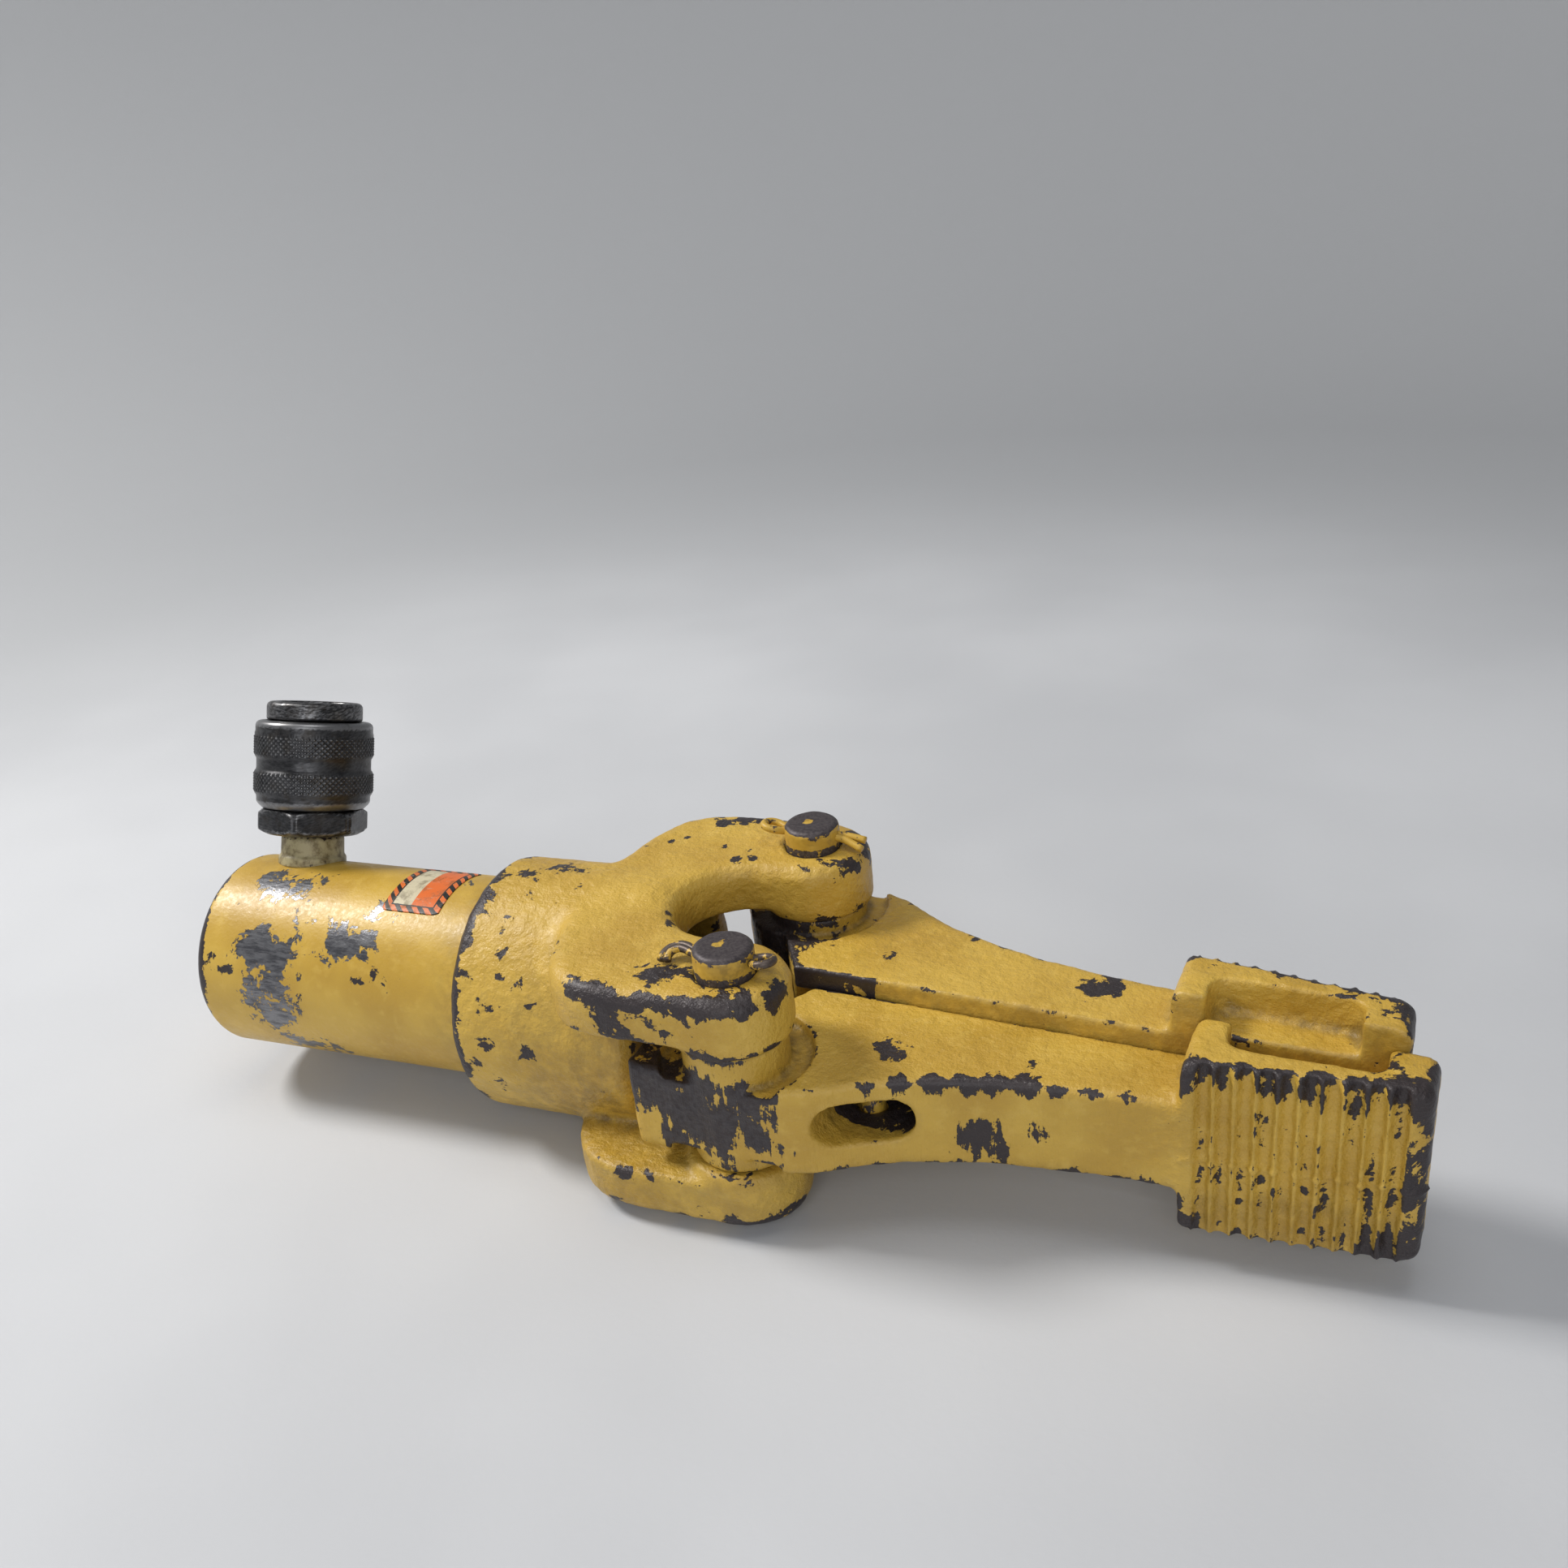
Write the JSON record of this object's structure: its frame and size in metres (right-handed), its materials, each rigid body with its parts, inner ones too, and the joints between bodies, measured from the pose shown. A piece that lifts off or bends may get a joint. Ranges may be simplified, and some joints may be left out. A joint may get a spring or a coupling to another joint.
{
  "type": "hydraulic rescue spreader",
  "caption": "Single-acting hydraulic ram with a forked head and two serrated jaws that swing apart to spread a gap; swivelling hose coupler.",
  "frame": {"origin": "centre of the ram's rear face", "axes": "+X along the ram towards the jaw tips, +Z parallel to the jaw pins and up, +Y away from the near jaw"},
  "size_m": [0.3336, 0.0962, 0.1122],
  "materials": {
    "barrel_enamel": "yellow enamel over steel tube, worn through to grey steel in patches",
    "casting_enamel": "yellow enamel over a dark cast surface, chipped along the edges",
    "pin_steel": "pin painted over with the tool's yellow enamel, worn to dark steel on top",
    "cotter_steel": "plain wire, half covered in yellow enamel",
    "spring_steel": "oiled wire",
    "hard_chrome": "ground and plated",
    "machined_steel": "turned, lightly oiled",
    "blackened_steel": "dark plated, knurled bands",
    "nipple_enamel": "dull cream-khaki paint",
    "seal_rubber": "matt black",
    "bearing_plastic": "tan filled plastic",
    "decal_film": "printed film, cream and orange, no lettering"
  },
  "bodies": {
    "tool": {"cylinder_barrel": "barrel_enamel", "gland_nut": "machined_steel", "rod_wiper": "seal_rubber", "base_spring_anchor": "machined_steel", "return_spring": "spring_steel", "spreader_head": "casting_enamel", "pivot_pin_near": "pin_steel", "pivot_pin_far": "pin_steel", "cotter_pin_near": "cotter_steel", "cotter_pin_far": "cotter_steel", "port_nipple": "nipple_enamel", "coupler_body": "blackened_steel", "poppet_spring": "spring_steel", "coupler_seat_ring": "machined_steel", "coupler_seal": "seal_rubber", "jaw_return_spring": "spring_steel", "safety_decal": "decal_film"},
    "ram": {"plunger": "hard_chrome", "piston_seal": "seal_rubber", "backup_ring": "bearing_plastic", "wear_ring": "bearing_plastic", "plunger_spring_anchor": "machined_steel", "push_block": "machined_steel"},
    "near_jaw": {"jaw_near": "casting_enamel", "spring_post_near": "pin_steel"},
    "far_jaw": {"jaw_far": "casting_enamel", "spring_post_far": "pin_steel"},
    "sleeve": {"coupler_sleeve": "blackened_steel"},
    "poppet": {"coupler_poppet": "machined_steel"}
  },
  "joints": [
    {"name": "ram_slide", "type": "slide", "parent": "tool", "child": "ram", "axis": [1, 0, 0], "range_m": [0, 0.05], "stiffness_N_per_m": 1500, "springref_m": -0.03, "deforming": ["return_spring"]},
    {"name": "near_jaw_hinge", "type": "hinge", "parent": "tool", "child": "near_jaw", "pos_m": [0.1743, -0.0323, 0], "axis": [0, 0, 1], "range_deg": [-47, 0], "deforming": ["jaw_return_spring"]},
    {"name": "far_jaw_hinge", "type": "hinge", "parent": "tool", "child": "far_jaw", "pos_m": [0.1743, 0.0323, 0], "axis": [0, 0, 1], "range_deg": [0, 58]},
    {"name": "sleeve_turn", "type": "hinge", "parent": "tool", "child": "sleeve", "pos_m": [0.0186, 0.02213, 0.05318], "axis": [0, 0.3843, 0.9232], "continuous": true},
    {"name": "poppet_press", "type": "slide", "parent": "tool", "child": "poppet", "axis": [0, -0.3843, -0.9232], "range_m": [0, 0.003], "stiffness_N_per_m": 800, "springref_m": -0.003, "deforming": ["poppet_spring"]}
  ],
  "couplings": [
    {"joint": "near_jaw_hinge", "follows": "ram_slide", "rad_per_m": -16.4},
    {"joint": "far_jaw_hinge", "follows": "ram_slide", "rad_per_m": 20.24}
  ]
}
